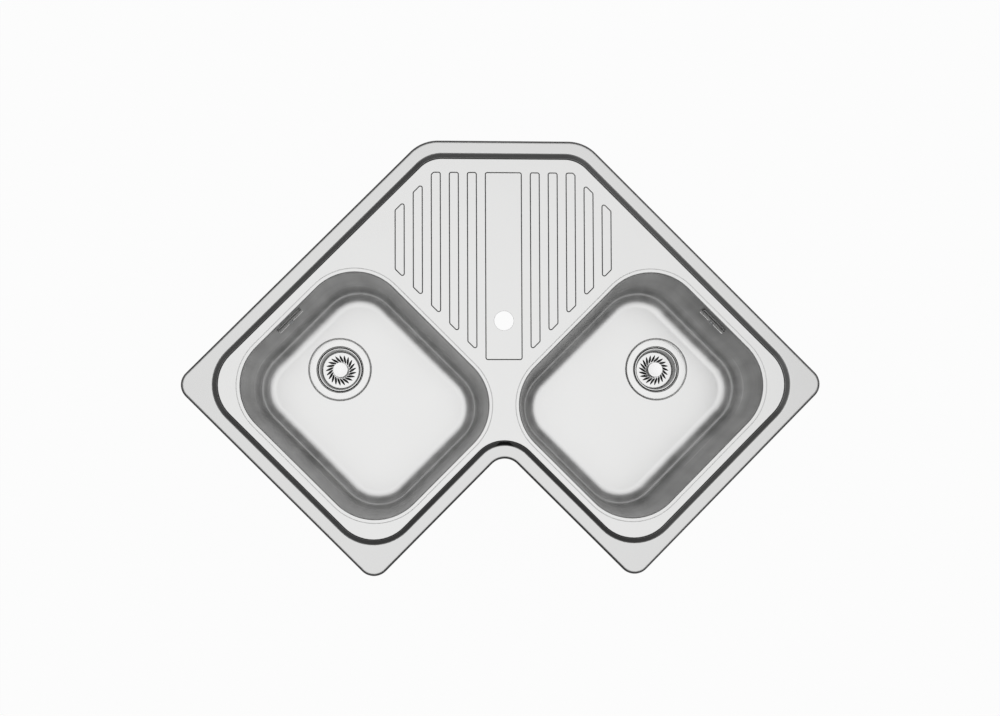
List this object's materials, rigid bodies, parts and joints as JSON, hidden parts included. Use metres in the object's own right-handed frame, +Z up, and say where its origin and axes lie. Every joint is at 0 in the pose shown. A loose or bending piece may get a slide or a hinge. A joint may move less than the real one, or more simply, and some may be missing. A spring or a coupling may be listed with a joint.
{
  "type": "corner kitchen sink",
  "caption": "Corner-shaped inset steel kitchen sink: two bowls, ribbed corner drainer, tap hole, basket strainer wastes, overflows, trap and worktop clamps.",
  "frame": {"origin": "on the axis of the tap hole, level with the worktop that the rim rests on", "axes": "+Z up; +X along the left leg and +Y along the right leg, both away from the corner of the walls"},
  "size_m": [0.83, 0.83, 0.487],
  "materials": {
    "pressed_steel": "fine satin pressed stainless steel, brighter on flat faces and darker in the bowls",
    "foam_seal": "closed-cell foam strip",
    "zinc_steel": "zinc-plated strip",
    "screw_steel": "plated screws",
    "bitumen_pad": "sound-deadening pad",
    "waste_steel": "pressed stainless steel, semi-bright",
    "knob_steel": "turned face with a circular grain",
    "seal_rubber": "matt rubber",
    "stem_plastic": "moulded acetal",
    "white_plastic": "moulded polypropylene",
    "nut_plastic": "moulded polypropylene, ribbed for grip",
    "hose_plastic": "corrugated polypropylene"
  },
  "bodies": {
    "root": {"sink_top": "pressed_steel", "bowl_left": "pressed_steel", "bowl_right": "pressed_steel", "rim_seal": "foam_seal", "clamp_brackets": "zinc_steel", "sound_pad_left": "bitumen_pad", "sound_pad_right": "bitumen_pad", "sound_pad_drainer": "bitumen_pad", "flange_left": "waste_steel", "flange_right": "waste_steel", "flange_seal_left": "seal_rubber", "flange_seal_right": "seal_rubber", "waste_cup_left": "white_plastic", "waste_cup_right": "white_plastic", "cup_seal_left": "seal_rubber", "cup_seal_right": "seal_rubber", "fixing_screws": "screw_steel", "overflow_cover_left": "waste_steel", "overflow_cover_right": "waste_steel", "overflow_screws": "screw_steel", "overflow_gaskets": "seal_rubber", "overflow_housing_left": "white_plastic", "overflow_housing_right": "white_plastic", "overflow_hose_left": "hose_plastic", "overflow_hose_right": "hose_plastic", "hose_nuts": "nut_plastic", "pipe_nuts": "nut_plastic", "pipe_washers": "seal_rubber", "branch_pipe_left": "white_plastic", "branch_pipe_right": "white_plastic", "tee": "white_plastic", "trap_head": "white_plastic", "trap_cup": "nut_plastic", "trap_seal": "seal_rubber", "outlet_pipe": "white_plastic"},
    "stopper_left": {"stopper_stem_left": "stem_plastic", "stopper_seal_left": "seal_rubber"},
    "basket_left": {"basket_left": "waste_steel", "basket_knob_left": "knob_steel"},
    "stopper_right": {"stopper_stem_right": "stem_plastic", "stopper_seal_right": "seal_rubber"},
    "basket_right": {"basket_right": "waste_steel", "basket_knob_right": "knob_steel"},
    "clamp_screw_1": {"clamp_screw_1": "screw_steel"},
    "clamp_claw_1": {"clamp_claw_1": "zinc_steel"},
    "clamp_screw_2": {"clamp_screw_2": "screw_steel"},
    "clamp_claw_2": {"clamp_claw_2": "zinc_steel"},
    "clamp_screw_3": {"clamp_screw_3": "screw_steel"},
    "clamp_claw_3": {"clamp_claw_3": "zinc_steel"},
    "clamp_screw_4": {"clamp_screw_4": "screw_steel"},
    "clamp_claw_4": {"clamp_claw_4": "zinc_steel"},
    "clamp_screw_5": {"clamp_screw_5": "screw_steel"},
    "clamp_claw_5": {"clamp_claw_5": "zinc_steel"},
    "clamp_screw_6": {"clamp_screw_6": "screw_steel"},
    "clamp_claw_6": {"clamp_claw_6": "zinc_steel"},
    "clamp_screw_7": {"clamp_screw_7": "screw_steel"},
    "clamp_claw_7": {"clamp_claw_7": "zinc_steel"},
    "clamp_screw_8": {"clamp_screw_8": "screw_steel"},
    "clamp_claw_8": {"clamp_claw_8": "zinc_steel"}
  },
  "joints": [
    {"name": "basket_lift_left", "type": "slide", "parent": "root", "child": "stopper_left", "axis": [0, 0, 1], "range_m": [0, 0.2287]},
    {"name": "basket_turn_left", "type": "hinge", "parent": "stopper_left", "child": "basket_left", "pos_m": [0.271, -0.1615, -0.18], "axis": [0, 0, 1], "continuous": true},
    {"name": "basket_lift_right", "type": "slide", "parent": "root", "child": "stopper_right", "axis": [0, 0, 1], "range_m": [0, 0.2287]},
    {"name": "basket_turn_right", "type": "hinge", "parent": "stopper_right", "child": "basket_right", "pos_m": [-0.1615, 0.271, -0.18], "axis": [0, 0, 1], "continuous": true},
    {"name": "clamp_travel_1", "type": "slide", "parent": "root", "child": "clamp_screw_1", "axis": [0, 0, 1], "range_m": [0, 0.012]},
    {"name": "clamp_swing_1", "type": "hinge", "parent": "clamp_screw_1", "child": "clamp_claw_1", "pos_m": [-0.0352, -0.306, -0.0572], "axis": [0, 0, 1], "range_deg": [0, 90]},
    {"name": "clamp_travel_2", "type": "slide", "parent": "root", "child": "clamp_screw_2", "axis": [0, 0, 1], "range_m": [0, 0.012]},
    {"name": "clamp_swing_2", "type": "hinge", "parent": "clamp_screw_2", "child": "clamp_claw_2", "pos_m": [0.3549, -0.306, -0.0572], "axis": [0, 0, 1], "range_deg": [0, 90]},
    {"name": "clamp_travel_3", "type": "slide", "parent": "root", "child": "clamp_screw_3", "axis": [0, 0, 1], "range_m": [0, 0.012]},
    {"name": "clamp_swing_3", "type": "hinge", "parent": "clamp_screw_3", "child": "clamp_claw_3", "pos_m": [0.468, -0.084, -0.0572], "axis": [0, 0, 1], "range_deg": [0, 90]},
    {"name": "clamp_travel_4", "type": "slide", "parent": "root", "child": "clamp_screw_4", "axis": [0, 0, 1], "range_m": [0, 0.012]},
    {"name": "clamp_swing_4", "type": "hinge", "parent": "clamp_screw_4", "child": "clamp_claw_4", "pos_m": [0.3051, 0.138, -0.0572], "axis": [0, 0, 1], "range_deg": [0, 90]},
    {"name": "clamp_travel_5", "type": "slide", "parent": "root", "child": "clamp_screw_5", "axis": [0, 0, 1], "range_m": [0, 0.012]},
    {"name": "clamp_swing_5", "type": "hinge", "parent": "clamp_screw_5", "child": "clamp_claw_5", "pos_m": [-0.306, -0.0352, -0.0572], "axis": [0, 0, 1], "range_deg": [0, 90]},
    {"name": "clamp_travel_6", "type": "slide", "parent": "root", "child": "clamp_screw_6", "axis": [0, 0, 1], "range_m": [0, 0.012]},
    {"name": "clamp_swing_6", "type": "hinge", "parent": "clamp_screw_6", "child": "clamp_claw_6", "pos_m": [-0.306, 0.3549, -0.0572], "axis": [0, 0, 1], "range_deg": [0, 90]},
    {"name": "clamp_travel_7", "type": "slide", "parent": "root", "child": "clamp_screw_7", "axis": [0, 0, 1], "range_m": [0, 0.012]},
    {"name": "clamp_swing_7", "type": "hinge", "parent": "clamp_screw_7", "child": "clamp_claw_7", "pos_m": [-0.084, 0.468, -0.0572], "axis": [0, 0, 1], "range_deg": [0, 90]},
    {"name": "clamp_travel_8", "type": "slide", "parent": "root", "child": "clamp_screw_8", "axis": [0, 0, 1], "range_m": [0, 0.012]},
    {"name": "clamp_swing_8", "type": "hinge", "parent": "clamp_screw_8", "child": "clamp_claw_8", "pos_m": [0.138, 0.3051, -0.0572], "axis": [0, 0, 1], "range_deg": [0, 90]}
  ]
}
